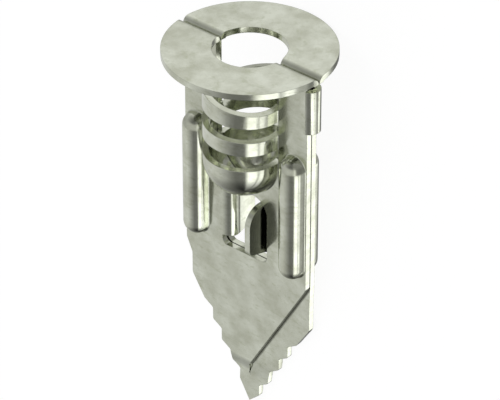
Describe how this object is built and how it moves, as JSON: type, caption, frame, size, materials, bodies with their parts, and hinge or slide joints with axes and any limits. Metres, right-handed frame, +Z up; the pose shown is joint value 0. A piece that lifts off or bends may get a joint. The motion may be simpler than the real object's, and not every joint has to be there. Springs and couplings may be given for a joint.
{
  "type": "metal hollow wall anchor",
  "caption": "Folded sheet-steel hollow wall anchor with a round flange, pressed screw bands and a toothed, cut point.",
  "frame": {"origin": "centre of the bounding box at the surface that the anchor lies on", "axes": "+Z up from the surface, +Y along the anchor from the point towards the flange, +X across it"},
  "size_m": [0.016, 0.0402, 0.0158],
  "materials": {
    "zinc_plated_steel": "satin"
  },
  "bodies": {
    "root": {"anchor_sheet": "zinc_plated_steel"}
  },
  "joints": []
}
